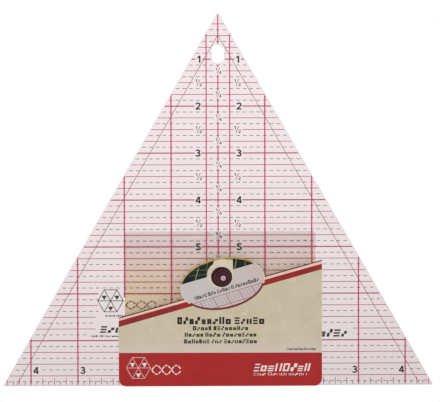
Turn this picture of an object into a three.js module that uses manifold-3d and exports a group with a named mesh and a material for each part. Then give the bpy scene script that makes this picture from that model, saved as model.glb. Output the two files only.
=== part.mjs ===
// A 60-degree triangle ruler for patchwork: clear laser-cut acrylic, printed on its back face, hung by a hole
// under its apex, with a folded retail card wrapped round its base edge.
//
// Units are millimetres. Everything is drawn as the ruler is seen from the front: x to the right, y up towards
// the apex, z towards the viewer. One group stands that drawing upright, so that in the finished part +Z is up
// and the front faces -Y. The origin is the centre of the hang hole, halfway through the plate.
import * as THREE from 'three';
import { mergeVertices } from 'three/addons/utils/BufferGeometryUtils.js';
import Module from 'manifold-3d';

// Driving dimensions: the plate
const INCH = 25.4;
const DEG = Math.PI / 180;
const SIDE = 232.9;
const HEIGHT = SIDE * Math.cos(30 * DEG);
const PLATE_T = 3;
const CORNER_R = 0.5;
const EDGE_EASE = 0.1;
const HOLE_WIDTH = 6.8;
const HOLE_HEIGHT = 10.5;
const APEX_Y = 22.4;
const BASE_Y = APEX_Y - HEIGHT;

// Driving dimensions: the print, in two passes, one behind the other
const INK_T = 0.04;
const INK_GAP = 0.01;
const PRINT_INSET = 0.5;
const MAIN_LINE = 0.7;
const FINE_LINE = 0.35;
const SEAM_LINE = 0.3;
const SCALE_ZERO_Y = 22.7;
const SEAM_ALLOWANCE = INCH / 4;
const UPRIGHTS = [0, 0.25, 1, 2, 3, 4];

// Driving dimensions: the card, a die-cut sheet folded twice
const CARD_T = 0.3;
const CARD_GAP = 0.3;
const FOLD_GAP = 0.05;
const CREASE_GAP = 0.05;
const CARD_X = 1.1;
const FRONT_WIDTH = 110;
const FRONT_CORNER_R = 4;
const FRONT_LEFT_HEIGHT = 37.3;
const FRONT_RIGHT_HEIGHT = 68.3;
const BACK_WIDTH = 103.6;
const BACK_HEIGHT = 83.7;
const BACK_CORNER_R = 2;
const MEDALLION = { x: 1.2, y: 55.55, long: 23.2, short: 13.85, tilt: 11.3 * DEG };
const GLUE_R = 4;
const GLUE_CLEARANCE = 0.03;
const GLUE_X = 38;
const GLUE_Y = 20;

// Where each layer lies through the thickness
const PLATE_FRONT = PLATE_T / 2;
const PLATE_BACK = -PLATE_T / 2;
const MAGENTA_BACK = PLATE_BACK - INK_GAP - INK_T;
const BLACK_BACK = MAGENTA_BACK - INK_GAP - INK_T;
const PANEL_FRONT_INNER = PLATE_FRONT + CARD_GAP;
const PANEL_BACK_INNER = BLACK_BACK - CARD_GAP;
const CARD_BASE_Y = BASE_Y - FOLD_GAP - CARD_T;
const FOLD_WIDTH = FRONT_WIDTH - 2 * FRONT_CORNER_R;

const wasm = await Module();
wasm.setup();

// A closed three.js geometry as a solid for cutting and joining
function solidOf(geometry) {
  const bare = geometry.clone();
  bare.deleteAttribute('normal');
  bare.deleteAttribute('uv');
  const merged = mergeVertices(bare);
  const vertProperties = new Float32Array(merged.attributes.position.array);
  const triVerts = new Uint32Array(merged.index.array);
  return new wasm.Manifold(new wasm.Mesh({ numProp: 3, vertProperties, triVerts }));
}

function geometryOf(solid) {
  const mesh = solid.getMesh();
  const geometry = new THREE.BufferGeometry();
  geometry.setAttribute('position', new THREE.BufferAttribute(mesh.vertProperties, 3));
  geometry.setIndex(new THREE.BufferAttribute(mesh.triVerts, 1));
  return geometry;
}

// A flat outline given a thickness, from z = 0 towards the viewer
function slab(outline, depth, curveSegments = 8) {
  return new THREE.ExtrudeGeometry(outline, { depth, curveSegments, bevelEnabled: false });
}

function rectangle(left, bottom, right, top) {
  const outline = new THREE.Shape();
  outline.moveTo(left, bottom);
  outline.lineTo(right, bottom);
  outline.lineTo(right, top);
  outline.lineTo(left, top);
  return outline;
}

// The equilateral triangle with its sides moved in by inset and its corners rounded
function triangle(inset, radius) {
  const outline = new THREE.Shape();
  const middleY = BASE_Y + HEIGHT / 3;
  const reach = SIDE / Math.sqrt(3) - 2 * inset - 2 * radius;
  for (const corner of [90, 210, 330]) {
    const x = reach * Math.cos(corner * DEG);
    const y = middleY + reach * Math.sin(corner * DEG);
    outline.absarc(x, y, radius, (corner - 60) * DEG, (corner + 60) * DEG, false);
  }
  return outline;
}

// The hang hole: two half circles joined by straight sides
function hangHole(grow) {
  const outline = new THREE.Path();
  const radius = HOLE_WIDTH / 2 + grow;
  const half = (HOLE_HEIGHT - HOLE_WIDTH) / 2;
  outline.absarc(0, half, radius, 0, Math.PI, false);
  outline.absarc(0, -half, radius, Math.PI, 2 * Math.PI, false);
  return outline;
}

// The plate, with the faint easing that a laser cut leaves along every edge
function acrylicPlate() {
  const outline = triangle(0, CORNER_R);
  outline.holes.push(hangHole(0));
  const geometry = new THREE.ExtrudeGeometry(outline, {
    depth: PLATE_T - 2 * EDGE_EASE,
    curveSegments: 8,
    bevelThickness: EDGE_EASE,
    bevelSize: EDGE_EASE,
    bevelOffset: -EDGE_EASE,
    bevelSegments: 1,
  });
  return geometry.translate(0, 0, EDGE_EASE);
}

// The height on the plate of a row of the inch scale, which counts down from just above the rounded apex
function rowY(inches) {
  return SCALE_ZERO_Y - inches * INCH;
}

// The magenta pass: uprights from the sloping edges to the base, and a row at each half inch
function magentaGrid() {
  const bars = [];
  for (const inches of UPRIGHTS) {
    for (const side of inches === 0 ? [1] : [-1, 1]) {
      const x = side * inches * INCH;
      bars.push(rectangle(x - MAIN_LINE / 2, BASE_Y, x + MAIN_LINE / 2, APEX_Y));
    }
  }
  for (let half = 1; rowY(half / 2) > BASE_Y; half += 1) {
    const y = rowY(half / 2);
    const width = half % 2 === 0 ? MAIN_LINE : FINE_LINE;
    bars.push(rectangle(-SIDE / 2, y - width / 2, SIDE / 2, y + width / 2));
  }
  const printable = solidOf(slab(triangle(PRINT_INSET, CORNER_R), INK_T));
  const hole = new THREE.Shape(hangHole(PRINT_INSET).getPoints(8));
  let grid = solidOf(slab(bars[0], INK_T));
  for (const bar of bars.slice(1)) {
    grid = grid.add(solidOf(slab(bar, INK_T)));
  }
  return geometryOf(grid.intersect(printable).subtract(solidOf(slab(hole, INK_T))));
}

// The black pass: the two seam lines, a quarter inch inside the sloping edges, meeting above the hang hole
function seamLines() {
  const slope = Math.tan(30 * DEG);
  const foot = BASE_Y + PRINT_INSET;
  const chevron = (allowance) => {
    const top = SCALE_ZERO_Y - allowance / Math.sin(30 * DEG);
    return { top, reach: (top - foot) * slope };
  };
  const outer = chevron(SEAM_ALLOWANCE - SEAM_LINE / 2);
  const inner = chevron(SEAM_ALLOWANCE + SEAM_LINE / 2);
  const outline = new THREE.Shape();
  outline.moveTo(-outer.reach, foot);
  outline.lineTo(-inner.reach, foot);
  outline.lineTo(0, inner.top);
  outline.lineTo(inner.reach, foot);
  outline.lineTo(outer.reach, foot);
  outline.lineTo(0, outer.top);
  return slab(outline, INK_T);
}

// The front panel: rounded lower corners, a slanted top edge and an oval medallion standing above it
function frontPanel() {
  const half = FRONT_WIDTH / 2;
  const outline = new THREE.Shape();
  outline.moveTo(half, FRONT_RIGHT_HEIGHT);
  outline.lineTo(-half, FRONT_LEFT_HEIGHT);
  outline.absarc(FRONT_CORNER_R - half, FRONT_CORNER_R, FRONT_CORNER_R, Math.PI, 1.5 * Math.PI, false);
  outline.absarc(half - FRONT_CORNER_R, FRONT_CORNER_R, FRONT_CORNER_R, 1.5 * Math.PI, 2 * Math.PI, false);
  const oval = new THREE.Shape();
  oval.absellipse(MEDALLION.x, MEDALLION.y, MEDALLION.long, MEDALLION.short, 0, 2 * Math.PI, false, MEDALLION.tilt);
  const panel = solidOf(slab(outline, CARD_T));
  return geometryOf(panel.add(solidOf(slab(oval, CARD_T, 32))));
}

function backPanel() {
  const half = BACK_WIDTH / 2;
  const shoulder = BACK_HEIGHT - BACK_CORNER_R;
  const outline = new THREE.Shape();
  outline.moveTo(-half, 0);
  outline.lineTo(half, 0);
  outline.absarc(half - BACK_CORNER_R, shoulder, BACK_CORNER_R, 0, Math.PI / 2, false);
  outline.absarc(BACK_CORNER_R - half, shoulder, BACK_CORNER_R, Math.PI / 2, Math.PI, false);
  return slab(outline, CARD_T);
}

// The strip under the base edge that joins the two panels
function foldStrip() {
  const depth = PANEL_FRONT_INNER - PANEL_BACK_INNER - 2 * CREASE_GAP;
  return slab(rectangle(-FOLD_WIDTH / 2, 0, FOLD_WIDTH / 2, CARD_T), depth);
}

function glueDot() {
  const outline = new THREE.Shape();
  outline.absarc(0, 0, GLUE_R, 0, 2 * Math.PI, false);
  return slab(outline, CARD_GAP - 2 * GLUE_CLEARANCE);
}

function material(color, roughness, opacity = 1) {
  return new THREE.MeshStandardMaterial({ color, roughness, metalness: 0, opacity, transparent: opacity < 1 });
}

// A named sub-part whose back face lies at z
function piece(name, geometry, finish, x, y, z) {
  const mesh = new THREE.Mesh(geometry, finish);
  mesh.name = name;
  mesh.position.set(x, y, z);
  return mesh;
}

function printedPlate() {
  const ruler = new THREE.Group();
  ruler.add(piece('acrylic_plate', acrylicPlate(), material('#e9e3e4', 0.08, 0.4), 0, 0, PLATE_BACK));
  ruler.add(piece('magenta_print', magentaGrid(), material('#a81c4f', 0.5), 0, 0, MAGENTA_BACK));
  ruler.add(piece('black_print', seamLines(), material('#2b2024', 0.5), 0, 0, BLACK_BACK));
  return ruler;
}

function foldedCard() {
  const card = new THREE.Group();
  card.position.set(CARD_X, CARD_BASE_Y, 0);
  const printed = material('#c7bb9e', 0.45);
  card.add(piece('card_front_panel', frontPanel(), printed.clone(), 0, 0, PANEL_FRONT_INNER));
  card.add(piece('card_fold_strip', foldStrip(), material('#a23030', 0.45), 0, 0, PANEL_BACK_INNER + CREASE_GAP));
  card.add(piece('card_back_panel', backPanel(), printed.clone(), 0, 0, PANEL_BACK_INNER - CARD_T));
  for (const [side, sign] of [['left', -1], ['right', 1]]) {
    for (const [face, z] of [['front', PLATE_FRONT], ['back', PANEL_BACK_INNER]]) {
      const tacky = material('#ded9cc', 0.35);
      card.add(piece(`glue_dot_${face}_${side}`, glueDot(), tacky, sign * GLUE_X, GLUE_Y, z + GLUE_CLEARANCE));
    }
  }
  return card;
}

const drawing = new THREE.Group();
drawing.rotation.x = Math.PI / 2;
drawing.add(printedPlate());
drawing.add(foldedCard());

const part = new THREE.Group();
part.add(drawing);

export default part;
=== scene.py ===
"""A 60-degree patchwork ruler of clear acrylic in its folded retail card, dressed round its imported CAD.

Everything stands in the CAD's own frame, in metres: +Z up to the apex, the front faces -Y, and the origin
is the centre of the hang hole. Flat artwork is drawn in millimetres as (across, up), as it is seen from the
front, and each piece of it is a thin closed solid.
"""
import math
import random

import bpy
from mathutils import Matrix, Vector
from mathutils.geometry import delaunay_2d_cdt


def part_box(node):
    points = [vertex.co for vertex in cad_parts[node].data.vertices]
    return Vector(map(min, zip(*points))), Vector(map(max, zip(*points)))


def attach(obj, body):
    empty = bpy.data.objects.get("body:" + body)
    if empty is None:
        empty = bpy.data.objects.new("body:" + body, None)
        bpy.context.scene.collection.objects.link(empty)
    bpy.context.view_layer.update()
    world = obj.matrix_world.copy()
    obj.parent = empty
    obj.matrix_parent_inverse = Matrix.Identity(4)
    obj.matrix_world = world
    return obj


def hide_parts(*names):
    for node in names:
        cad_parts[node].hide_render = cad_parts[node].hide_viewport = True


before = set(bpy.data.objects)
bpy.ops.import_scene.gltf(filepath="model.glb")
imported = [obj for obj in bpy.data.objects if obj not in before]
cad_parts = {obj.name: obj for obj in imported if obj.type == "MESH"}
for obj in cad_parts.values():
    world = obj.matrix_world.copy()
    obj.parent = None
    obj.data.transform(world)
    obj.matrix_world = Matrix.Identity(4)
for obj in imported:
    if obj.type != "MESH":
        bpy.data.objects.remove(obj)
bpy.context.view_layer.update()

MM = 0.001
INCH = 25.4

# The plate, in mm: its sloping edges stand at 30 degrees to the centre line
SLOPE_ANGLE = math.radians(30)
SLOPE = math.tan(SLOPE_ANGLE)
APEX_ROUNDING = 0.5
plate_low, plate_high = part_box("acrylic_plate")
APEX = plate_high.z / MM + APEX_ROUNDING
BASE = plate_low.z / MM
HOLE_HALF_WIDTH = 3.4
HOLE_HALF_HEIGHT = 5.25
HOLE_MARGIN = 0.4
EDGE_MARGIN = 0.3
SIDE_MARGIN = EDGE_MARGIN / math.cos(SLOPE_ANGLE)

# The printed lines, in mm: their widths, the dashes, and the depth of each layer behind the plate
MAIN_LINE = 0.6
WIDE_LINE = 0.7
FINE_LINE = 0.34
SEAM_LINE = 0.28
TICK_LINE = 0.36
DASH_PITCH = INCH / 7
DASH = 2.0
LAYER = 0.015
UPRIGHT_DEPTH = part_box("magenta_print")[0].y / MM
ROW_DEPTH = UPRIGHT_DEPTH + 0.025
BLACK_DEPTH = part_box("black_print")[0].y / MM

# The scale counts down from just above the apex. Its rows are numbered in eighths of an inch
SCALE_ZERO = APEX + 0.3
LAST_ROW = 63
UPRIGHTS = (-4, -3, -2, -1, -0.25, 0, 0.25, 1, 2, 3, 4)
LAST_TICK = 36
ODD_TICK = 0.085 * INCH
QUARTER_TICK = 0.15 * INCH
SEAM_ALLOWANCE = 0.25 * INCH
SEAM_SHIFT = 0.28

# Numerals and fractions, in mm. Each "room" is half the gap that a row leaves for its label
NUMERAL_HEIGHT = 3.8
NUMERAL_X = 0.425 * INCH
NUMERAL_ROOM = 1.8
RANGING_SHIFT = 0.6
BASE_NUMERAL_Z = SCALE_ZERO - 7.635 * INCH
BASE_NUMERAL_ROW = 61
BASE_NUMERAL_ROOM = 2.1
BASE_NUMERAL_INSET = {-1: 2.7, 1: 2.0}
HALF_HEIGHT = 3.8
HALF_X = 10.5
HALF_ROOM = 2.3
QUARTER_HEIGHT = 3.3
QUARTER_X = 0.3
QUARTER_ROOM = 2.4
QUARTER_REACH = 0.078 * INCH

# Strokes, and the middle and widening of a figure, in parts of its height
NUMERAL_STROKE = 0.198
NUMERAL_WIDENING = 1.15
NUMERAL_MIDDLE = 0.33
FRACTION_STROKE = 0.17
SLASH_STROKE = 0.08

# Where the grid is left open round the printed devices: left, top, right, bottom, in inches
OPEN_AREAS = (
    (-2.56, 5.9, -2.03, 6.42),
    (-2.03, 6.08, -1.26, 6.42),
    (-2.62, 6.42, -1.5, 6.8),
    (-2.78, 6.8, -1.5, 6.96),
    (1.5, 6.7, 2.88, 6.96),
)

# The card, in mm from the middle of its fold
front_low, front_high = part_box("card_front_panel")
back_low, back_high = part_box("card_back_panel")
CARD_X = (front_low.x + front_high.x) / 2 / MM
CARD_Z = front_low.z / MM
CARD_HALF = (front_high.x - front_low.x) / 2 / MM
BACK_HALF = (back_high.x - back_low.x) / 2 / MM
LEFT_HEIGHT = 37.3
RIGHT_HEIGHT = 68.3
CORNER_R = 4.0
BAND_HEIGHT = 18.0
BAND_RISE = 0.17
PRINT_GAP = 0.005
PRINT_STEP = 0.02

# How many steps each print stands out from the card, so that the later ones cover the earlier
CARD_LAYER = 0
DEVICE_LAYER = 0.9
SHEET_LAYER = 1
MAT_LAYER = 2
ROLL_LAYER = 2.9
RIM_LAYER = 3.8
RING_LAYER = 4.6

# The stripes under the front panel's slanted edge: the depths of their top and foot, at the left and right
STRIPES = (
    ("edge", (0.0, 0.0), (0.6, 0.6)),
    ("cream", (0.6, 0.6), (1.8, 2.1)),
    ("red", (1.8, 2.1), (5.1, 5.1)),
)

# The medallion's middle, its half lengths and its tilt
OVAL = {"x": 1.2, "z": 55.55, "long": 23.2, "short": 13.85, "tilt": math.radians(11.3)}

# The lines drawn on the medallion's cutting mat, from its middle: upper end, lower end and width
MAT_LINES = (
    ((-12.0, 12.0), (-15.3, 0.0), 0.4),
    ((7.6, 14.0), (6.2, 5.0), 0.42),
    ((-8.0, 14.0), (-9.0, 0.0), 0.1),
    ((12.4, 14.0), (12.0, 5.0), 0.2),
    ((-18.0, 7.0), (-6.0, 7.6), 0.12),
    ((-18.0, 4.0), (-6.0, 5.4), 0.1),
)

# The medallion's cutting mat, its squared paper and the rings on its roll, in mm from its middle
MAT_EDGE_HEIGHT = 5.97
MAT_EDGE_SLANT = 0.2903
PAPER_SLANT = 0.3
PAPER_DROP = 6.05
SQUARE_WIDTH = 7.0
SQUARE_HEIGHT = 5.8
SQUARE_PARTS = 4
FIRST_RULING = -14.15
FINE_RULING = 0.08
WIDE_UPRIGHT_RULING = 0.34
WIDE_LEVEL_RULING = 0.3
RING_LINE = 0.18

# The acrylic: its faint tint at the apex and at the base, where painted shade deepens it, how much less of
# that painted shade the left side has, and its mirror
ACRYLIC_TOP = "#faf4f5"
ACRYLIC_SHADED_BASE = "#ede7e7"
PAINTED_SHADE_AT_LEFT = 0.8
PAINTED_SHADE_REACH = 100.0
HEAD_ON_MIRROR = 0.04
EDGE_SHARE = 0.5

# The card: the height over which its tone pales down to the band, the height of the painted shade inside its
# back panel, both in mm, and its tones, the inner ones painted deeper below and lighter towards the top as
# shade
FADE_REACH = 9.0
FADED_PRINT = "#d4c7bc"
BACK_PAINTED_SHADE_REACH = 36.0
CARD_TONE = "#cbbfa3"
CARD_PALE_TONE = "#dcd3c0"
FOLD_TONE = "#a23030"
FOLD_PALE_TONE = "#a83a38"
INNER_SHADE_TONES = ("#e2dccf", "#e9e4d8")
BACK_INNER_SHADE_TONES = ("#f2e4bb", "#f4f0f0")

# The studio and the camera: places in metres, turns in degrees, the lens and its sensor in mm
FLOOR_Z = -0.40
FLOOR_RADIUS = 1.5
LIGHT_AIM = (0.0, 0.0, -0.08)
LIGHT_SIZE = 1.2
LIGHT_POWER = 10.0
SURROUND = 0.72
CAMERA_PLACE = (-0.01755, -1.08227, -0.05529)
CAMERA_TURN = (88.7202, 0.1130, -0.9858)
CAMERA_LENS = 163.636
CAMERA_SENSOR = 36.0

# The smallest distance between two corners of a shape, in mm
WELD = 1e-4


# ---------------------------------------------------------------- flat shapes

def rectangle(left, bottom, right, top):
    return [(left, bottom), (right, bottom), (right, top), (left, top)]


def arc(x, z, across, up, start, end, steps):
    """Points along an ellipse's arc, between two angles in degrees."""
    points = []
    for i in range(steps + 1):
        angle = math.radians(start + (end - start) * i / steps)
        points.append((x + across * math.cos(angle), z + up * math.sin(angle)))
    return points


def ellipse(x, z, across, up, sides, start=0):
    """A closed outline with its corners on an ellipse, the first at the start angle."""
    return arc(x, z, across, up, start, start + 360 - 360 / sides, sides - 1)


def stroke(points, width, closed=False):
    """A line of one width as quads with mitred joints."""
    path = [Vector(p) for p in points]
    count = len(path)
    left, right = [], []
    for i, here in enumerate(path):
        before = path[i - 1] if i or closed else here
        after = path[(i + 1) % count] if i < count - 1 or closed else here
        first = (here - before).normalized() if here != before else (after - here).normalized()
        second = (after - here).normalized() if after != here else first
        normals = [Vector((-d.y, d.x)) for d in (first, second)]
        middle = (normals[0] + normals[1]).normalized()
        reach = width / 2 / max(middle.dot(normals[0]), 0.5)
        left.append(here + middle * reach)
        right.append(here - middle * reach)
    spans = range(count if closed else count - 1)
    return [[right[i], right[(i + 1) % count], left[(i + 1) % count], left[i]] for i in spans]


def moved(outlines, x, z, scale=1.0, turn=0.0):
    """Outlines scaled, turned about their own origin and set at (x, z)."""
    c, s = math.cos(turn) * scale, math.sin(turn) * scale
    return [[(x + c * p[0] - s * p[1], z + s * p[0] + c * p[1]) for p in o] for o in outlines]


def parts_between(start, end, gaps):
    """The stretches of start..end that lie outside every gap."""
    stretches = []
    at = start
    for low, high in sorted(gaps):
        if low > at:
            stretches.append((at, min(low, end)))
        at = max(at, high)
    if at < end:
        stretches.append((at, end))
    return [(a, b) for a, b in stretches if b - a > FINE_LINE]


def facing(outline):
    """The outline, running anticlockwise as CAD shapes do."""
    points = [Vector((p[0], p[1])) for p in outline]
    area = sum(a.x * b.y - b.x * a.y for a, b in zip(points, points[1:] + points[:1]))
    return points if area > 0 else points[::-1]


def union(outlines):
    """The points and triangles of the area that the outlines cover together."""
    points, faces = [], []
    for outline in map(facing, outlines):
        faces.append(list(range(len(points), len(points) + len(outline))))
        points += outline
    corners, _, triangles, _, _, sources = delaunay_2d_cdt(points, [], faces, 0, WELD)
    return corners, [t for t, source in zip(triangles, sources) if source]


def prism(name, outlines, near, far):
    """A closed mesh of the outlines' area, from depth near to depth far behind the hang hole's centre."""
    corners, triangles = union(outlines)
    used = sorted({i for t in triangles for i in t})
    place = {old: new for new, old in enumerate(used)}
    count = len(used)
    front = [(corners[i].x * MM, near * MM, corners[i].y * MM) for i in used]
    back = [(x, far * MM, z) for x, _, z in front]
    faces = [tuple(place[i] for i in t) for t in triangles]
    edges = {(t[i], t[(i + 1) % 3]) for t in faces for i in range(3)}
    sides = [(b, a, a + count, b + count) for a, b in sorted(edges) if (b, a) not in edges]
    rear = [tuple(i + count for i in reversed(t)) for t in faces]
    mesh = bpy.data.meshes.new(name)
    mesh.from_pydata(front + back, [], faces + rear + sides)
    mesh.validate()
    return mesh


def piece(name, outlines, near, far, material, body):
    """One named piece of flat artwork, riding on a CAD body."""
    shape = bpy.data.objects.new(name, prism(name, outlines, near, far))
    bpy.context.scene.collection.objects.link(shape)
    shape.data.materials.append(material)
    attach(shape, body)
    return shape


# ---------------------------------------------------------------- materials

def colour(code):
    """A linear colour from a hex code."""
    parts = [int(code[i:i + 2], 16) / 255 for i in (1, 3, 5)]
    return [p / 12.92 if p <= 0.04045 else ((p + 0.055) / 1.055) ** 2.4 for p in parts] + [1.0]


class Shader:
    """A material's node tree, built up one node at a time."""

    def __init__(self, name):
        self.material = bpy.data.materials.new(name)
        self.material.use_nodes = True
        self.tree = self.material.node_tree
        self.tree.nodes.clear()
        self.place = self.add("ShaderNodeTexCoord")

    def add(self, kind, inputs=(), **settings):
        node = self.tree.nodes.new(kind)
        for key, value in settings.items():
            setattr(node, key, value)
        for key, value in dict(inputs).items():
            if isinstance(value, bpy.types.NodeSocket):
                self.tree.links.new(value, node.inputs[key])
            else:
                node.inputs[key].default_value = value
        return node

    def stretched(self, scale):
        """Object coordinates, multiplied along each axis."""
        vector = {"Vector": self.place.outputs["Object"], "Scale": scale}
        return self.add("ShaderNodeMapping", vector).outputs["Vector"]

    def noise(self, scale, detail=3.0, where=None):
        vector = where or self.place.outputs["Object"]
        inputs = {"Vector": vector, "Scale": scale, "Detail": detail}
        return self.add("ShaderNodeTexNoise", inputs).outputs["Fac"]

    def spread(self, value, low, high, start=0.3, end=0.7):
        """A value's range from start to end, stretched to low..high."""
        inputs = {"Value": value, "From Min": start, "From Max": end, "To Min": low, "To Max": high}
        return self.add("ShaderNodeMapRange", inputs).outputs["Result"]

    def mix(self, factor, first, second):
        inputs = {0: factor, 6: first, 7: second}
        return self.add("ShaderNodeMix", inputs, data_type="RGBA").outputs[2]

    def axis(self, output, name):
        """One coordinate of the object's own position or normal."""
        return self.add("ShaderNodeSeparateXYZ", {"Vector": self.place.outputs[output]}).outputs[name]

    def maths(self, value, operation, second=0.0):
        return self.add("ShaderNodeMath", {0: value, 1: second}, operation=operation).outputs["Value"]

    def bump(self, height, strength, distance):
        inputs = {"Height": height, "Strength": strength, "Distance": distance}
        return self.add("ShaderNodeBump", inputs).outputs["Normal"]

    def finish(self, shader):
        self.add("ShaderNodeOutputMaterial", {"Surface": shader})
        return self.material


def acrylic():
    """Clear cast acrylic with a faint warm tint, glossy faces and laser-cut edges that catch the light.

    Painted shade deepens the faint tint towards the base, most of all at its right-hand corner, where the
    light falls away.
    """
    s = Shader("clear_acrylic")
    # Painted shade: the tint is mixed darker towards the base and the right-hand corner, where the light
    # falls away
    depth = s.spread(s.axis("Object", "Z"), 0.0, 1.0, APEX * MM, BASE * MM)
    rightward = s.spread(s.axis("Object", "X"), PAINTED_SHADE_AT_LEFT, 1.0, -PAINTED_SHADE_REACH * MM, PAINTED_SHADE_REACH * MM)
    painted_shade = s.maths(s.maths(depth, "POWER", 2.0), "MULTIPLY", rightward)
    tint = s.mix(painted_shade, colour(ACRYLIC_TOP), colour(ACRYLIC_SHADED_BASE))
    clear = s.add("ShaderNodeBsdfTransparent", {"Color": tint}).outputs["BSDF"]
    handling = s.spread(s.noise(18.0, 4.0), 0.03, 0.07)
    gloss_inputs = {"Color": (0.9, 0.9, 0.9, 1.0), "Roughness": handling}
    gloss = s.add("ShaderNodeBsdfGlossy", gloss_inputs).outputs["BSDF"]
    away = s.add("ShaderNodeLayerWeight", {"Blend": 0.5}).outputs["Facing"]
    grazing = s.maths(away, "POWER", 5.0)
    mirror = s.spread(grazing, HEAD_ON_MIRROR, 1.0, 0.0, 1.0)
    face = s.add("ShaderNodeMixShader", {0: mirror, 1: clear, 2: gloss}).outputs["Shader"]
    striae = s.noise(1.0, 2.0, s.stretched((2600.0, 120.0, 2600.0)))
    edge_inputs = {
        "Base Color": s.mix(s.spread(striae, 0.0, 1.0), colour("#c9bdbf"), colour("#e6dcdd")),
        "Roughness": s.spread(striae, 0.12, 0.3),
        "Normal": s.bump(striae, 0.25, 0.0001),
    }
    cut = s.add("ShaderNodeBsdfPrincipled", edge_inputs).outputs["BSDF"]
    square_on = s.maths(s.axis("Normal", "Y"), "ABSOLUTE")
    on_edge = s.maths(square_on, "LESS_THAN", 0.9)
    share = s.maths(on_edge, "MULTIPLY", EDGE_SHARE)
    seen = s.add("ShaderNodeMixShader", {0: share, 1: face, 2: cut}).outputs["Shader"]
    lit = s.add("ShaderNodeBsdfTransparent").outputs["BSDF"]
    ray = s.add("ShaderNodeLightPath").outputs
    light = s.maths(ray["Is Shadow Ray"], "MAXIMUM", ray["Is Diffuse Ray"])
    return s.finish(s.add("ShaderNodeMixShader", {0: light, 1: seen, 2: lit}).outputs["Shader"])


def ink(name, code, variation=0.12, roughness=0.4):
    """Screen-printed ink: a little uneven in density, with a fine orange-peel surface."""
    s = Shader(name)
    base = colour(code)
    dense = [c * (1 - variation) for c in base[:3]] + [1.0]
    thin = [min(c * (1 + variation), 1.0) for c in base[:3]] + [1.0]
    patch = s.noise(160.0)
    grain = s.noise(2400.0, 2.0)
    inputs = {
        "Base Color": s.mix(s.spread(patch, 0.0, 1.0), dense, thin),
        "Roughness": s.spread(grain, roughness - 0.06, roughness + 0.06),
        "Normal": s.bump(grain, 0.15, 0.00005),
        "Specular IOR Level": 0.15,
    }
    return s.finish(s.add("ShaderNodeBsdfPrincipled", inputs).outputs["BSDF"])


def shaded_ink(name, left_code, right_code, left, right):
    """A printed tone that changes evenly between two distances across, in mm from the centre line."""
    s = Shader(name)
    across = s.spread(s.axis("Object", "X"), 0.0, 1.0, left * MM, right * MM)
    grain = s.noise(2400.0, 2.0)
    inputs = {
        "Base Color": s.mix(across, colour(left_code), colour(right_code)),
        "Roughness": s.spread(grain, 0.39, 0.51),
        "Normal": s.bump(grain, 0.15, 0.00005),
        "Specular IOR Level": 0.15,
    }
    return s.finish(s.add("ShaderNodeBsdfPrincipled", inputs).outputs["BSDF"])


def speckled(s, code, pale):
    """A printed tone with faint pale dots scattered over it and a soft mottle."""
    dots = s.add("ShaderNodeTexVoronoi", {"Vector": s.place.outputs["Object"], "Scale": 150.0})
    spot = s.spread(dots.outputs["Distance"], 0.55, 0.0, 0.11, 0.19)
    mottle = s.mix(s.spread(s.noise(90.0), 0.0, 0.35), colour(code), colour(pale))
    return s.mix(spot, mottle, colour(pale))


def near_band(s):
    """How far the card's printed tone has paled: from none well above the band to fully at its top.

    It stays fully paled below that, so the outer face of the fold strip is faded all over.
    """
    band_top = (CARD_Z + BAND_HEIGHT) * MM
    return s.spread(s.axis("Object", "Z"), 0.0, 1.0, band_top + FADE_REACH * MM, band_top)


def card(name, outward, code, pale, inner_shade_tones):
    """Coated card: its printed outer face, its plain inner face with a painted shade that pales towards the
    top, and the white fibre of its cut edges.

    outward is the axis and sign of the outer face's normal.
    """
    s = Shader(name)
    normal = s.maths(s.axis("Normal", outward[0]), "MULTIPLY", outward[1])
    outer = s.maths(normal, "GREATER_THAN", 0.5)
    inner = s.maths(normal, "LESS_THAN", -0.5)
    fibre = s.noise(1400.0, 4.0)
    # Painted shade: the plain inner face is a deeper tone below this foot, paling to a lighter tone at the
    # top of the back panel
    shade_foot = back_high.z - BACK_PAINTED_SHADE_REACH * MM
    height = s.spread(s.axis("Object", "Z"), 0.0, 1.0, shade_foot, back_high.z)
    core = s.mix(s.spread(fibre, 0.0, 1.0), colour("#d8d2c6"), colour("#f1ece2"))
    plain = s.mix(height, colour(inner_shade_tones[0]), colour(inner_shade_tones[1]))
    printed = s.mix(near_band(s), speckled(s, code, pale), colour(FADED_PRINT))
    tone = s.mix(outer, s.mix(inner, core, plain), printed)
    inputs = {
        "Base Color": tone,
        "Roughness": s.spread(fibre, 0.42, 0.62),
        "Normal": s.bump(fibre, 0.2, 0.00006),
        "Specular IOR Level": 0.2,
    }
    return s.finish(s.add("ShaderNodeBsdfPrincipled", inputs).outputs["BSDF"])


def gum():
    """Removable gum: milky, rubbery, dimpled where it was pressed flat."""
    s = Shader("removable_gum")
    dimples = s.noise(900.0, 3.0)
    inputs = {
        "Base Color": s.mix(s.spread(dimples, 0.0, 1.0), colour("#cfc8b6"), colour("#e9e4d6")),
        "Roughness": s.spread(dimples, 0.28, 0.5),
        "Normal": s.bump(dimples, 0.4, 0.0001),
        "Subsurface Weight": 0.2,
        "Subsurface Radius": (0.001, 0.0008, 0.0006),
    }
    return s.finish(s.add("ShaderNodeBsdfPrincipled", inputs).outputs["BSDF"])


def matte_floor():
    s = Shader("studio_floor")
    cloud = s.spread(s.noise(3.0), 0.0, 1.0)
    inputs = {"Base Color": s.mix(cloud, colour("#e4e2df"), colour("#ebe9e6")), "Roughness": 0.9}
    return s.finish(s.add("ShaderNodeBsdfPrincipled", inputs).outputs["BSDF"])


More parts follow.
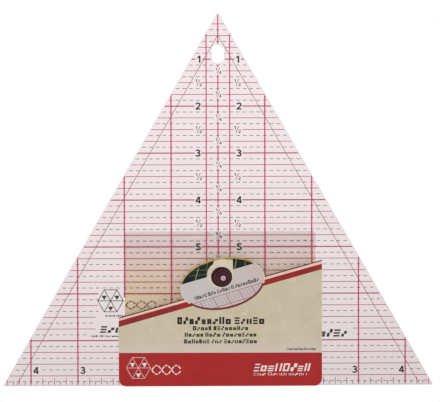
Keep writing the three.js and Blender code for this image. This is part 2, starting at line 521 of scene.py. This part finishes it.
UPRIGHT_INK = ink("upright_magenta", "#d80c6e", 0.06)
ROW_INK = ink("row_magenta", "#c00a60", 0.06)
FINE_INK = ink("fine_row_magenta", "#b81468", 0.06)
DASH_INK = ink("dash_magenta", "#981e5c", 0.06)
BLACK_INK = ink("black_ink", "#141012", 0.25)
SEAM_INK = ink("seam_ink", "#74203c", 0.1)
RED_PRINT = ink("card_red", "#aa2a29", 0.06, 0.45)
STRIPE_DARK = ink("stripe_brown", "#54241c", 0.1, 0.45)
STRIPE_CREAM = ink("stripe_cream", "#eccabc", 0.04, 0.45)
STRIPE_RED = ink("stripe_red", "#982a2b", 0.1, 0.45)
RIM_RED = ink("oval_red", "#7e2e2a", 0.1, 0.45)
WHITE_PRINT = ink("card_white", "#f0e2df", 0.05, 0.45)
BLACK_PRINT = ink("card_black", "#2a2422", 0.2, 0.45)
GOLD_PRINT = ink("oval_gold", "#b0933e", 0.2, 0.4)
PALE_PRINT = ink("oval_cream", "#d8cdb6", 0.06, 0.45)
SHEET_PRINT = shaded_ink("oval_sheet", "#cbc6c5", "#d0beb9", -12.0, 26.0)
MAT_PRINT = ink("oval_mat", "#18231f", 0.5, 0.45)
MAT_LINE_PRINT = ink("oval_mat_line", "#9c9c6a", 0.15, 0.45)
DISC_PRINT = ink("oval_disc", "#36131b", 0.4, 0.45)
RING_PRINT = ink("oval_ring", "#6d4550", 0.2, 0.45)
HUB_PRINT = ink("oval_hub", "#b9a3a6", 0.1, 0.45)
GRID_PRINT = ink("oval_grid", "#94687a", 0.1, 0.45)


# ---------------------------------------------------------------- numerals

def digit(figure, weight):
    """The strokes of a plain numeral, one unit tall, as outlines."""
    bowl = 14
    paths = {
        1: [[(0.42, 0.0), (0.42, 1.0)], [(0.44, 0.91), (0.14, 0.70)]],
        2: [
            arc(0.33, 0.70, 0.24, 0.222, 168, -28, bowl) + [(0.40, 0.41), (0.13, 0.12)],
            [(0.04, weight / 2), (0.63, weight / 2)],
        ],
        3: [
            arc(0.31, 0.73, 0.205, 0.192, 160, -90, bowl),
            arc(0.31, 0.295, 0.245, 0.217, 90, -162, bowl),
            [(0.20, 0.525), (0.33, 0.525)],
        ],
        4: [[(0.475, 0.0), (0.475, 1.0)], [(0.02, 0.275), (0.66, 0.275)], [(0.44, 0.95), (0.07, 0.31)]],
        5: [
            [(0.14, 1 - weight / 2), (0.60, 1 - weight / 2)],
            [(0.205, 0.95), (0.135, 0.50)],
            arc(0.31, 0.315, 0.25, 0.237, 142, -160, bowl),
        ],
        6: [
            arc(0.335, 0.31, 0.24, 0.232, 0, 180, bowl),
            arc(0.335, 0.31, 0.24, 0.232, 180, 360, bowl),
            arc(0.40, 0.40, 0.305, 0.522, 58, 188, bowl),
        ],
        7: [
            [(0.05, 1 - weight / 2), (0.63, 1 - weight / 2)],
            [(0.575, 0.92), (0.44, 0.66), (0.34, 0.36), (0.29, 0.0)],
        ],
    }
    return [quad for path in paths[figure] for quad in stroke(path, weight)]


def numeral(figure, x, z, height, weight=NUMERAL_STROKE):
    """A numeral centred on (x, z)."""
    shapes = []
    for quad in digit(figure, weight):
        shapes.append([((p[0] - NUMERAL_MIDDLE) * NUMERAL_WIDENING, p[1] - 0.5) for p in quad])
    return moved(shapes, x, z, height)


def fraction(top, bottom, x, z, height):
    """A small numeral above left and one below right of a slash."""
    small = height * 0.5
    rise = height * 0.25
    lean = height * 0.23
    shapes = numeral(top, x - height * 0.3, z + rise, small, FRACTION_STROKE)
    shapes += numeral(bottom, x + height * 0.31, z - rise, small, FRACTION_STROKE)
    slash = [(x - lean, z - height / 2), (x + lean, z + height / 2)]
    return shapes + stroke(slash, height * SLASH_STROKE)


# ---------------------------------------------------------------- the ruler's print

def row_z(v):
    """The height of a reading on the scale, in inches."""
    return SCALE_ZERO - v * INCH


def half_width(z):
    """How far the print reaches from the centre line at a height on the plate."""
    return (APEX - z) * SLOPE - SIDE_MARGIN


def top_of(x):
    """How high the print reaches at a distance from the centre line."""
    return APEX - (abs(x) + SIDE_MARGIN) / SLOPE


def row_bar(start, end, z, width):
    """A stretch of a row, cut to the sloping edges."""
    low, high = z - width / 2, z + width / 2
    reach = [half_width(low), half_width(high)]
    left = [max(start, -r) for r in reach]
    right = [min(end, r) for r in reach]
    if right[1] - left[1] < width:
        return None
    return [(left[0], low), (right[0], low), (right[1], high), (left[1], high)]


def upright_bar(x, start, end, width):
    """A stretch of an upright, cut to the sloping edges."""
    sides = [x - width / 2, x + width / 2]
    tops = [min(end, top_of(side)) for side in sides]
    if min(tops) - start < width:
        return None
    return [(sides[0], start), (sides[1], start), (sides[1], tops[1]), (sides[0], tops[0])]


def numeral_places(n):
    """The middles of a row's two numerals.

    The left column ranges right and the right column ranges left, so a narrow 1 stands aside from the rest.
    """
    if n == 1:
        return RANGING_SHIFT - NUMERAL_X, NUMERAL_X
    return -NUMERAL_X, NUMERAL_X + RANGING_SHIFT


def base_numeral_places():
    """The middle of each base numeral, keyed by its inch: inside its own upright, at both sides."""
    places = {}
    for n in (1, 2, 3, 4):
        for side in (-1, 1):
            places[side * n] = side * (n * INCH - BASE_NUMERAL_INSET[side])
    return places


def gap_at(middle, half):
    return middle - half, middle + half


def row_gaps(eighths):
    """Where a row is left open: its labels, the hang hole and the printed devices."""
    v = eighths / 8
    gaps = [(left * INCH, right * INCH) for left, top, right, foot in OPEN_AREAS if top < v < foot]
    if abs(row_z(v)) < HOLE_HALF_HEIGHT + HOLE_MARGIN:
        gaps.append(gap_at(0.0, HOLE_HALF_WIDTH + HOLE_MARGIN))
    if eighths % 8 == 0:
        gaps += [gap_at(x, NUMERAL_ROOM) for x in numeral_places(eighths // 8)]
    if eighths % 8 == 4 and eighths > 8:
        gaps += [gap_at(side * NUMERAL_X, HALF_ROOM) for side in (-1, 1)]
    if eighths % 4 == 2 and eighths > 8:
        gaps.append(gap_at(0.0, QUARTER_ROOM))
    if eighths == BASE_NUMERAL_ROW:
        gaps += [gap_at(x, BASE_NUMERAL_ROOM) for x in base_numeral_places().values()]
    return gaps


def solid_rows(step_test):
    """The unbroken rows whose count of eighths passes the test."""
    bars = []
    for eighths in filter(step_test, range(1, LAST_ROW + 1)):
        z = row_z(eighths / 8)
        width = MAIN_LINE if eighths % 8 == 0 else FINE_LINE
        reach = half_width(z) + width
        for start, end in parts_between(-reach, reach, row_gaps(eighths)):
            bars.append(row_bar(start, end, z, width))
    return list(filter(None, bars))


def dashed_rows():
    """The rows at odd eighths, dashed so that a dash crosses each inch upright."""
    bars = []
    for eighths in range(3, LAST_ROW + 1, 2):
        z = row_z(eighths / 8)
        count = int(half_width(z) / DASH_PITCH) + 1
        for i in range(-count, count + 1):
            x = i * DASH_PITCH
            for start, end in parts_between(x - DASH / 2, x + DASH / 2, row_gaps(eighths)):
                bars.append(row_bar(start, end, z, FINE_LINE))
    return list(filter(None, bars))


def upright_gaps(u):
    """Where an upright is left open: the printed devices and, in the middle, the hole and the fractions."""
    gaps = [(row_z(foot), row_z(top)) for left, top, right, foot in OPEN_AREAS if left < u < right]
    if u == 0:
        gaps.append(gap_at(0.0, HOLE_HALF_HEIGHT + HOLE_MARGIN))
        quarters = [n + part for n in range(1, 8) for part in (0.25, 0.75)]
        gaps += [gap_at(row_z(v), QUARTER_REACH) for v in quarters]
    return gaps


def upright_lines():
    """The uprights, from the base to the sloping edges. Those at whole inches are wider."""
    bars = []
    for u in UPRIGHTS:
        width = WIDE_LINE if abs(u) >= 1 else MAIN_LINE
        for start, end in parts_between(BASE + EDGE_MARGIN, APEX, upright_gaps(u)):
            bars.append(upright_bar(u * INCH, start, end, width))
    return list(filter(None, bars))


def base_ticks():
    """Short ticks along the base, each eighth of an inch where there is no upright."""
    bars = []
    for eighths in range(-LAST_TICK, LAST_TICK + 1):
        if eighths / 8 in UPRIGHTS:
            continue
        height = QUARTER_TICK if eighths % 2 == 0 else ODD_TICK
        x = eighths / 8 * INCH
        bars.append(upright_bar(x, BASE + EDGE_MARGIN, BASE + height, TICK_LINE))
    return list(filter(None, bars))


def seam_lines():
    """A quarter inch inside each sloping edge, from their meeting point to the base."""
    meeting = SCALE_ZERO + SEAM_SHIFT - SEAM_ALLOWANCE / math.sin(SLOPE_ANGLE)
    foot = BASE + EDGE_MARGIN
    shapes = []
    for side in (-1, 1):
        end = side * (meeting - foot) * SLOPE
        shapes += stroke([(0.0, meeting), (end, foot)], SEAM_LINE)
    return shapes


def half_marks():
    """The half-inch fractions, in two columns beside the numerals."""
    shapes = []
    for n in range(1, 8):
        for side in (-1, 1):
            shapes += fraction(1, 2, side * HALF_X, row_z(n + 0.5), HALF_HEIGHT)
    return shapes


def quarter_marks():
    """The quarter and three-quarter fractions, on the centre line."""
    shapes = []
    for n in range(1, 8):
        shapes += fraction(1, 4, QUARTER_X, row_z(n + 0.25), QUARTER_HEIGHT)
        shapes += fraction(3, 4, QUARTER_X, row_z(n + 0.75), QUARTER_HEIGHT)
    return shapes


def row_numerals():
    shapes = []
    for n in range(1, 8):
        for x in numeral_places(n):
            shapes += numeral(n, x, row_z(n), NUMERAL_HEIGHT)
    return shapes


def base_numerals():
    shapes = []
    for n, x in base_numeral_places().items():
        shapes += numeral(abs(n), x, BASE_NUMERAL_Z, NUMERAL_HEIGHT)
    return shapes


# ---------------------------------------------------------------- generic devices

def rosette(radius, width):
    """A patchwork rosette: a hexagon of six triangles, with a small filled triangle in every other one."""
    corners = ellipse(0, 0, radius, radius, 6)
    shapes = stroke(corners, width, closed=True)
    for i in range(3):
        shapes += stroke([corners[i], corners[i + 3]], width)
    to_middle = radius * 0.577
    patch = radius * 0.24
    for turn in (30, 150, 270):
        angle = math.radians(turn)
        spot = (to_middle * math.cos(angle), to_middle * math.sin(angle))
        shapes.append(ellipse(*spot, patch, patch, 3, turn))
    return shapes


def running_stitch(length, rise, width, waves=1.5):
    """Short stitches along two gentle waves that cross, starting at the origin."""
    stitches = 9
    shapes = []
    for side in (-1, 1):
        for i in range(stitches):
            points = []
            for j in range(4):
                along = (i + 0.75 * j / 3) / stitches
                points.append((along * length, side * rise * math.sin(2 * math.pi * waves * along)))
            shapes += stroke(points, width)
    return shapes


def mark(kind, wide, tall, weight):
    """One tiny patchwork unit, standing for a letter: upright rails, bars, a frame or a four-patch."""
    if kind == "rails":
        return [rectangle(0, 0, weight, tall), rectangle(wide - weight, 0, wide, tall)]
    if kind == "bars":
        lift = (tall - weight) / 2
        return [rectangle(0, i * lift, wide, i * lift + weight * 0.8) for i in range(3)]
    if kind == "frame":
        low, across, up = weight / 2, wide - weight / 2, tall - weight / 2
        return stroke([(low, low), (across, low), (across, up), (low, up)], weight, closed=True)
    return [rectangle(0, 0, wide * 0.55, tall / 2), rectangle(wide * 0.45, tall / 2, wide, tall)]


def greeked(words, height, length, seed, weight=0.21, lean=0.0):
    """A line of those units, centred on the origin and standing on it, for text that can't be read.

    words holds the number of units in each word. weight is a stroke's width in parts of the height, and
    stays under 0.28, because wider strokes would meet inside the narrowest frame.
    """
    dice = random.Random(seed)
    kinds = ["rails", "bars", "frame", "patches"]
    small = 0.74
    unit_gap = height * 0.18
    word_gap = height * 0.3
    shapes = []
    x = 0.0
    for letters in words:
        for i in range(letters):
            tall = height * (1.0 if i == 0 else dice.choice((small, small, small, 1.0)))
            wide = height * dice.choice((0.56, 0.62, 0.68))
            kind = kinds.pop(dice.randrange(3))
            kinds.append(kind)
            shapes += moved(mark(kind, wide, tall, height * weight), x, 0.0)
            x += wide + unit_gap
        x += word_gap
    fit = length / (x - unit_gap - word_gap)
    return [[(p[0] * fit - length / 2 + lean * p[1], p[1]) for p in shape] for shape in shapes]


# ---------------------------------------------------------------- the ruler's pieces

def finish_node(name, finish):
    """Give a CAD node its material."""
    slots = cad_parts[name].data.materials
    slots.clear()
    slots.append(finish)


def dress_ruler():
    """The plate's material, its print, and generic devices where the real plate has lettering."""
    finish_node("acrylic_plate", acrylic())

    def magenta(name, shapes, near, finish):
        return piece(name, shapes, near, near + LAYER, finish, "ruler")

    def black(name, shapes, finish=BLACK_INK):
        return piece(name, shapes, BLACK_DEPTH, BLACK_DEPTH + LAYER, finish, "ruler")

    uprights = magenta("magenta_uprights", upright_lines(), UPRIGHT_DEPTH, UPRIGHT_INK)
    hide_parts("magenta_print")
    magenta("magenta_ticks", base_ticks(), UPRIGHT_DEPTH, FINE_INK)
    magenta("magenta_inch_rows", solid_rows(lambda n: n % 8 == 0), ROW_DEPTH, ROW_INK)
    magenta("magenta_quarter_rows", solid_rows(lambda n: n % 8 and n % 2 == 0), ROW_DEPTH, FINE_INK)
    magenta("magenta_dashes", dashed_rows(), ROW_DEPTH, DASH_INK)

    seams = black("seam_lines", seam_lines(), SEAM_INK)
    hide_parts("black_print")
    black("row_numerals", row_numerals())
    black("base_numerals", base_numerals())
    black("half_marks", half_marks())
    black("quarter_marks", quarter_marks())

    black("rosette_mark", moved(rosette(radius=6.9, width=0.4), -58.4, row_z(6.15)))
    stitch_mark = running_stitch(length=17.0, rise=2.0, width=0.42)
    black("stitch_mark", moved(stitch_mark, -50.2, row_z(6.24)))
    block_mark = greeked((8,), height=3.9, length=30.0, seed=5, weight=0.27, lean=0.25)
    black("block_mark", moved(block_mark, -49.3, row_z(6.835)))
    word_mark = greeked((8,), height=4.2, length=30.4, seed=6, weight=0.27, lean=0.2)
    black("word_mark", moved(word_mark, 54.2, row_z(6.932)))
    upper = greeked((5, 8), height=1.0, length=14.0, seed=3, weight=0.27)
    lower = greeked((3, 2, 8, 3), height=1.0, length=22.0, seed=4, weight=0.27)
    black("small_marks", moved(upper, -54.2, row_z(6.49)) + moved(lower, -58.1, row_z(6.923)))


# ---------------------------------------------------------------- the card's pieces

def oval_arc(start, end, steps, inset=0.0):
    """Points along the medallion's outline, between two angles in degrees on its own long and short axes."""
    points = arc(0, 0, OVAL["long"] - inset, OVAL["short"] - inset, start, end, steps)
    return moved([points], OVAL["x"], OVAL["z"], 1.0, OVAL["tilt"])[0]


def oval_rim(start, end, steps, width):
    """A stretch of the rim just inside the medallion's outline, as quads."""
    outer = oval_arc(start, end, steps)
    inner = oval_arc(start, end, steps, width)
    return [[outer[i], outer[i + 1], inner[i + 1], inner[i]] for i in range(steps)]


def in_oval(x, z, inset):
    """Whether a point, measured from the medallion's middle, lies inside its outline."""
    along = x * math.cos(OVAL["tilt"]) + z * math.sin(OVAL["tilt"])
    across = z * math.cos(OVAL["tilt"]) - x * math.sin(OVAL["tilt"])
    return (along / (OVAL["long"] - inset)) ** 2 + (across / (OVAL["short"] - inset)) ** 2 < 1


def inside_stretch(start, end, test):
    """The part of a straight line whose points all pass the test, or None."""
    steps = 160
    points = [Vector(start).lerp(Vector(end), i / steps) for i in range(steps + 1)]
    kept = [p for p in points if test(p.x, p.y)]
    return (kept[0], kept[-1]) if len(kept) > 2 else None


def slanted_stripe(top, foot):
    """A stripe between two depths under the slanted top edge, each given at the left and the right."""
    side = CARD_HALF - PRINT_GAP
    upper = [(side, RIGHT_HEIGHT - top[1]), (-side, LEFT_HEIGHT - top[0])]
    return [(-side, LEFT_HEIGHT - foot[0]), (side, RIGHT_HEIGHT - foot[1])] + upper


def lower_band():
    """The band at the foot of the front panel, round its corners and a little higher at the left."""
    side = CARD_HALF - PRINT_GAP
    shape = arc(CORNER_R - side, CORNER_R, CORNER_R, CORNER_R, 180, 270, 8)
    shape += arc(side - CORNER_R, CORNER_R, CORNER_R, CORNER_R, 270, 360, 8)
    return shape + [(side, BAND_HEIGHT), (-side, BAND_HEIGHT + BAND_RISE)]


def front_print(name, outlines, layer, finish):
    """Artwork on the front panel, measured from the middle of the fold. Higher layers lie further out."""
    far = front_low.y / MM - PRINT_GAP - layer * PRINT_STEP
    shapes = moved(outlines, CARD_X, CARD_Z)
    return piece(name, shapes, far - LAYER, far, finish, "card_front")


def back_print(name, outlines, layer, finish):
    """Artwork on the back panel's outer face."""
    near = back_high.y / MM + PRINT_GAP + layer * PRINT_STEP
    shapes = moved(outlines, CARD_X, CARD_Z)
    return piece(name, shapes, near, near + LAYER, finish, "card_back")


def mat_edge(x):
    """The height over the medallion's middle of the straight lower edge of the cutting mat."""
    return MAT_EDGE_HEIGHT + MAT_EDGE_SLANT * x


def on_medallion(name, outlines, layer, finish):
    """Artwork on the front panel, measured from the medallion's middle."""
    front_print(name, moved(outlines, OVAL["x"], OVAL["z"]), layer, finish)


def cutting_mat():
    """The mat behind the other things on the table, and the lines on the part of it that shows."""
    front_print("oval_mat", [oval_arc(33.5, 163.0, 28, 0.5)], MAT_LAYER, MAT_PRINT)
    lines = []
    for top, foot, width in MAT_LINES:
        ends = inside_stretch(top, foot, lambda a, b: in_oval(a, b, 1.2) and b > mat_edge(a))
        if ends:
            lines += stroke(ends, width)
    on_medallion("oval_mat_lines", lines, ROLL_LAYER, MAT_LINE_PRINT)


def binding_roll():
    """A roll of binding: its pale side and top, its dark face with two rings, and its hub."""
    side = ellipse(-1.3, 4.6, 7.1, 7.0, 36)
    head = [(-5.6, 9.0), (0.0, 4.6), (5.75, 4.6), (5.5, 13.0), (-1.0, 13.2), (-4.6, 12.3)]
    on_medallion("oval_roll", [side, head], ROLL_LAYER, PALE_PRINT)
    on_medallion("oval_disc", [ellipse(-0.5, 3.6, 5.75, 5.5, 36)], RIM_LAYER, DISC_PRINT)
    outer = stroke(ellipse(0.0, 3.2, 4.3, 4.1, 24), RING_LINE, closed=True)
    inner = stroke(ellipse(0.1, 3.0, 2.9, 2.8, 24), RING_LINE, closed=True)
    on_medallion("oval_rings", outer + inner, RING_LAYER, RING_PRINT)
    on_medallion("oval_hub", [ellipse(0.35, 2.9, 1.45, 1.4, 18)], RING_LAYER, HUB_PRINT)


def on_paper(x, z):
    return in_oval(x, z, 1.0)


def squared_rulings():
    """The squared paper's rulings: each square has one wide line and three fine ones, both ways."""
    rulings = []
    for i in range(5 * SQUARE_PARTS):
        x = FIRST_RULING + SQUARE_WIDTH / SQUARE_PARTS * i
        top = (x, PAPER_SLANT * x - PAPER_DROP)
        foot = (top[0] + 6.0, top[1] - 10.0)
        ends = inside_stretch(top, foot, on_paper)
        if ends:
            rulings += stroke(ends, WIDE_UPRIGHT_RULING if i % SQUARE_PARTS == 1 else FINE_RULING)
    for i in range(2 * SQUARE_PARTS):
        drop = PAPER_DROP + SQUARE_HEIGHT / SQUARE_PARTS * i
        left, right = [(x, PAPER_SLANT * x - drop) for x in (-22.0, 22.0)]
        ends = inside_stretch(left, right, on_paper)
        if ends:
            rulings += stroke(ends, WIDE_LEVEL_RULING if i % SQUARE_PARTS == 0 else FINE_RULING)
    return rulings


def medallion():
    """A generic craft table in an oval rim: a sheet of squared paper, a cutting mat, a roll of binding."""
    front_print("oval_sheet", [oval_arc(0, 345, 46)], SHEET_LAYER, SHEET_PRINT)
    cutting_mat()
    binding_roll()
    on_medallion("oval_grid", squared_rulings(), MAT_LAYER, GRID_PRINT)
    caption = greeked((5, 3, 5, 1, 9), height=2.0, length=36.2, seed=8, weight=0.24)
    on_medallion("oval_caption", moved(caption, 2.4, -3.8, 1.0, math.radians(16.8)), MAT_LAYER, BLACK_PRINT)
    gold = oval_rim(38, 112, 16, 0.85) + oval_rim(112, 163, 12, 0.6)
    front_print("oval_rim_gold", gold, RIM_LAYER, GOLD_PRINT)
    pale = oval_rim(163, 212, 12, 0.7) + oval_rim(-18, 38, 14, 0.7)
    front_print("oval_rim_pale", pale, RIM_LAYER, PALE_PRINT)
    front_print("oval_rim_red", oval_rim(212, 342, 26, 1.05), RIM_LAYER, RIM_RED)


def dress_front():
    """The front panel's artwork: its band, stripes, medallion, greeked lines and the band's devices."""
    front_print("card_band", [lower_band()], CARD_LAYER, RED_PRINT)
    stripe_inks = {"edge": STRIPE_DARK, "cream": STRIPE_CREAM, "red": STRIPE_RED}
    for name, top, foot in STRIPES:
        front_print(f"card_stripe_{name}", [slanted_stripe(top, foot)], CARD_LAYER, stripe_inks[name])
    medallion()

    title = greeked((9, 5), height=3.9, length=47.0, seed=11, weight=0.27)
    front_print("card_title", moved(title, 0.2, 33.57), CARD_LAYER, BLACK_PRINT)
    lines = []
    for words, length, foot in (((5, 9), 29.8, 30.3), ((5, 4, 9), 38.7, 26.8), ((7, 3, 9), 39.4, 23.17)):
        line = greeked(words, height=2.25, length=length, seed=20 + len(lines), weight=0.265)
        lines += moved(line, 0.0, foot)
    front_print("card_lines", lines, CARD_LAYER, BLACK_PRINT)
    small_line = greeked((10, 7), height=1.2, length=15.5, seed=31, weight=0.24)
    front_print("card_small_line", moved(small_line, 43.9, 19.45), CARD_LAYER, BLACK_PRINT)

    device = moved(rosette(radius=6.5, width=0.2), -44.4, 10.0)
    device += moved(running_stitch(length=16.0, rise=2.4, width=0.6), -37.2, 8.9)
    front_print("band_device", device, DEVICE_LAYER, WHITE_PRINT)
    blocks = moved(greeked((8,), height=4.2, length=30.0, seed=43, weight=0.19, lean=0.25), 32.9, 7.97)
    blocks += moved(greeked((3, 9), height=1.5, length=29.0, seed=41, weight=0.1), 32.2, 5.75)
    front_print("band_blocks", blocks, DEVICE_LAYER, WHITE_PRINT)


def triangle_diagram(x, z, size, rows):
    """Equilateral patches set in rows, such as this ruler cuts: the upright ones, and those between them."""
    upright, turned = [], []
    height = size * math.sqrt(3) / 2
    gap = 0.25
    for row in range(rows):
        foot = z + row * height
        low, high = foot + gap / 2, foot + height - gap / 2
        for i in range(rows - row):
            left = x + (i + row / 2) * size
            middle, right = left + size / 2, left + size
            upright.append([(left + gap, low), (right - gap, low), (middle, foot + height - gap)])
            if i < rows - row - 1:
                turned.append([(middle + gap, high), (right, foot + gap), (right + size / 2 - gap, high)])
    return upright, turned


def dress_back():
    """The back panel isn't seen: a plain generic layout in the card's own colours."""
    side = BACK_HALF - PRINT_GAP
    back_print("back_band", [rectangle(-side, PRINT_GAP, side, BAND_HEIGHT)], CARD_LAYER, RED_PRINT)
    title = greeked((9, 5), height=3.9, length=47.0, seed=11)
    back_print("back_title", moved(title, 0.0, 73.0), CARD_LAYER, BLACK_PRINT)
    lines = []
    for row in range(4):
        line = greeked((6, 4, 8, 5), height=1.9, length=62.0, seed=60 + row)
        lines += moved(line, 0.0, 66.5 - 3.4 * row)
    back_print("back_lines", lines, CARD_LAYER, BLACK_PRINT)
    upright, turned = triangle_diagram(-38.0, 24.0, size=8.0, rows=3)
    second, third = triangle_diagram(12.0, 24.0, size=8.0, rows=3)
    back_print("back_patches_red", upright + third, CARD_LAYER, STRIPE_RED)
    back_print("back_patches_pale", turned + second, CARD_LAYER, STRIPE_CREAM)
    back_print("back_device", moved(rosette(radius=6.2, width=0.55), 0.0, 9.3), DEVICE_LAYER, WHITE_PRINT)


def dress_card():
    """The card's stock and gum, then its artwork."""
    finishes = {
        "card_front_panel": card("card_front_stock", ("Y", -1.0), CARD_TONE, CARD_PALE_TONE, INNER_SHADE_TONES),
        "card_fold_strip": card("card_fold_stock", ("Z", -1.0), FOLD_TONE, FOLD_PALE_TONE, INNER_SHADE_TONES),
        "card_back_panel": card("card_back_stock", ("Y", 1.0), CARD_TONE, CARD_PALE_TONE, BACK_INNER_SHADE_TONES),
    }
    removable = gum()
    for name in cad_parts:
        if name.startswith("glue_dot"):
            finishes[name] = removable
    for name, finish in finishes.items():
        finish_node(name, finish)
    dress_front()
    dress_back()


# ---------------------------------------------------------------- studio

def floor():
    """A plain pale floor, below the reach of the opened card."""
    mesh = bpy.data.meshes.new("studio_floor")
    points = [(x, y, FLOOR_Z) for x, y in ellipse(0, 0, FLOOR_RADIUS, FLOOR_RADIUS, 64)]
    mesh.from_pydata(points, [], [range(len(points))])
    ground = bpy.data.objects.new("studio_floor", mesh)
    bpy.context.scene.collection.objects.link(ground)
    mesh.materials.append(matte_floor())


def area_light(name, place):
    """A soft square light aimed at the middle of the ruler."""
    data = bpy.data.lights.new(name, "AREA")
    data.size = LIGHT_SIZE
    data.energy = LIGHT_POWER
    lamp = bpy.data.objects.new(name, data)
    bpy.context.scene.collection.objects.link(lamp)
    lamp.location = place
    aim = Vector(LIGHT_AIM) - lamp.location
    lamp.rotation_euler = aim.to_track_quat("-Z", "Y").to_euler()


def studio():
    """A white surround that looks brighter than it shines, and soft lights at front left and back right."""
    world = bpy.data.worlds.new("studio")
    bpy.context.scene.world = world
    world.use_nodes = True
    nodes, links = world.node_tree.nodes, world.node_tree.links
    nodes.clear()
    seen = nodes.new("ShaderNodeBackground")
    seen.inputs["Strength"].default_value = 1.0
    light = nodes.new("ShaderNodeBackground")
    light.inputs["Strength"].default_value = SURROUND
    for background in (seen, light):
        background.inputs["Color"].default_value = (1.0, 1.0, 1.0, 1.0)
    choice = nodes.new("ShaderNodeMixShader")
    path = nodes.new("ShaderNodeLightPath")
    links.new(path.outputs["Is Camera Ray"], choice.inputs[0])
    links.new(light.outputs[0], choice.inputs[1])
    links.new(seen.outputs[0], choice.inputs[2])
    links.new(choice.outputs[0], nodes.new("ShaderNodeOutputWorld").inputs["Surface"])
    area_light("key", (-0.9, -1.5, 0.9))
    area_light("back", (0.9, 1.5, 0.7))
    bpy.context.scene.view_settings.view_transform = "Standard"


def camera():
    """The main view: nearly square on, from a little above the ruler's middle and a touch to the left."""
    data = bpy.data.cameras.new("camera")
    data.sensor_width = CAMERA_SENSOR
    data.lens = CAMERA_LENS
    viewer = bpy.data.objects.new("camera", data)
    bpy.context.scene.collection.objects.link(viewer)
    viewer.location = CAMERA_PLACE
    viewer.rotation_euler = [math.radians(a) for a in CAMERA_TURN]
    bpy.context.scene.camera = viewer


dress_ruler()
dress_card()
floor()
studio()
camera()
